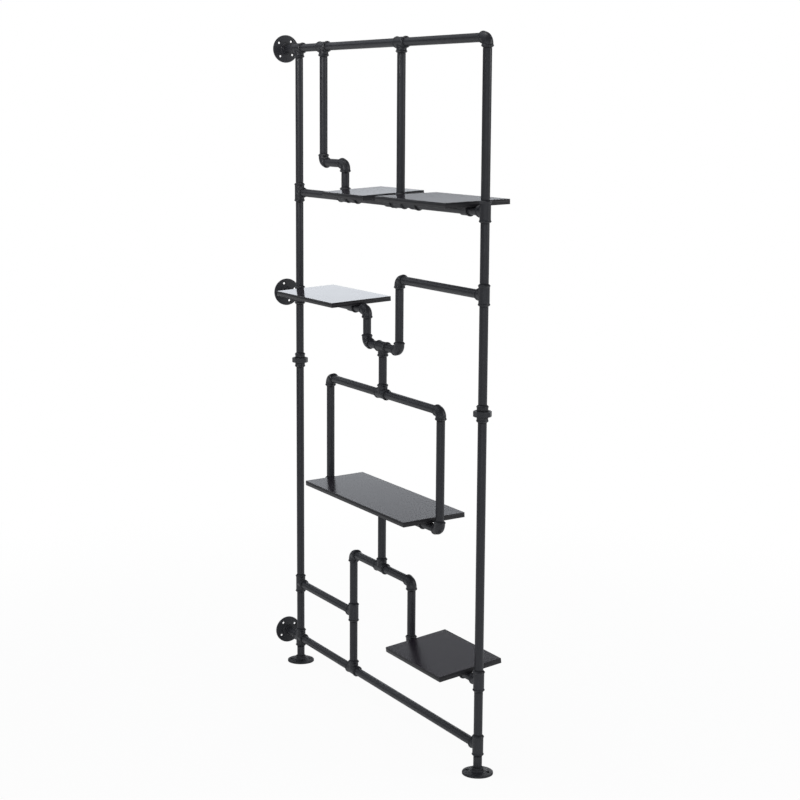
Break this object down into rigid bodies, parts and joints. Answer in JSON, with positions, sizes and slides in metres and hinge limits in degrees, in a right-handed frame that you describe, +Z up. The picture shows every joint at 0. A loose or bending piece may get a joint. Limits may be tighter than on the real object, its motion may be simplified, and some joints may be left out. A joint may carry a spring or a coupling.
{
  "type": "pipe shelving unit",
  "caption": "Wall-braced shelving frame of threaded steel pipe in a winding run, with flat boards carried on saddles over the bars.",
  "frame": {"origin": "centre of the bounding box in plan, at the floor: on the pipe frame's own plane, halfway between the wall face and the right floor flange's outer edge", "axes": "+X along the frame away from the wall, +Y across the boards, +Z up"},
  "size_m": [1.4144, 0.2222, 2.2445],
  "materials": {
    "coated_pipe": "satin black powder coat on drawn steel pipe",
    "coated_casting": "satin black powder coat on malleable iron castings, slightly coarser than the pipe",
    "board_laminate": "black laminated board with a smooth half-gloss face and eased edges",
    "black_screw": "black phosphated wood screw"
  },
  "bodies": {
    "root": {"board_saddles": "coated_casting", "bottom_tee": "coated_casting", "brace_tee": "coated_casting", "bridge_elbow": "coated_casting", "dip_left_elbow": "coated_casting", "dip_pipes": "coated_pipe", "dip_right_elbow": "coated_casting", "dip_tee": "coated_casting", "jog_lower_elbow": "coated_casting", "jog_upper_elbow": "coated_casting", "left_bottom_cross": "coated_casting", "left_floor_flange": "coated_casting", "left_low_tee": "coated_casting", "left_middle_cross": "coated_casting", "left_post_pipes": "coated_pipe", "left_shelf_tee": "coated_casting", "left_top_tee": "coated_casting", "left_union_lower": "coated_casting", "left_union_nut": "coated_casting", "left_union_upper": "coated_casting", "loop_board": "board_laminate", "loop_bottom_left_elbow": "coated_casting", "loop_bottom_right_elbow": "coated_casting", "loop_bottom_tee": "coated_casting", "loop_pipes": "coated_pipe", "loop_top_left_elbow": "coated_casting", "loop_top_right_elbow": "coated_casting", "loop_top_tee": "coated_casting", "low_board": "board_laminate", "low_shelf_elbow": "coated_casting", "lower_left_elbow": "coated_casting", "lower_pipes": "coated_pipe", "lower_right_elbow": "coated_casting", "lower_tee": "coated_casting", "middle_board": "board_laminate", "middle_shelf_elbow": "coated_casting", "right_bottom_tee": "coated_casting", "right_bridge_tee": "coated_casting", "right_floor_flange": "coated_casting", "right_low_tee": "coated_casting", "right_post_pipes": "coated_pipe", "right_shelf_tee": "coated_casting", "right_top_elbow": "coated_casting", "right_union_lower": "coated_casting", "right_union_nut": "coated_casting", "right_union_upper": "coated_casting", "riser_pipes": "coated_pipe", "saddle_screws": "black_screw", "shelf_drop_tee": "coated_casting", "shelf_riser_tee": "coated_casting", "top_bar_pipes": "coated_pipe", "top_drop_tee": "coated_casting", "top_left_board": "board_laminate", "top_right_board": "board_laminate", "top_riser_tee": "coated_casting", "top_shelf_pipes": "coated_pipe", "wall_flange_bottom": "coated_casting", "wall_flange_middle": "coated_casting", "wall_flange_top": "coated_casting", "wall_nipples": "coated_pipe"}
  },
  "joints": []
}
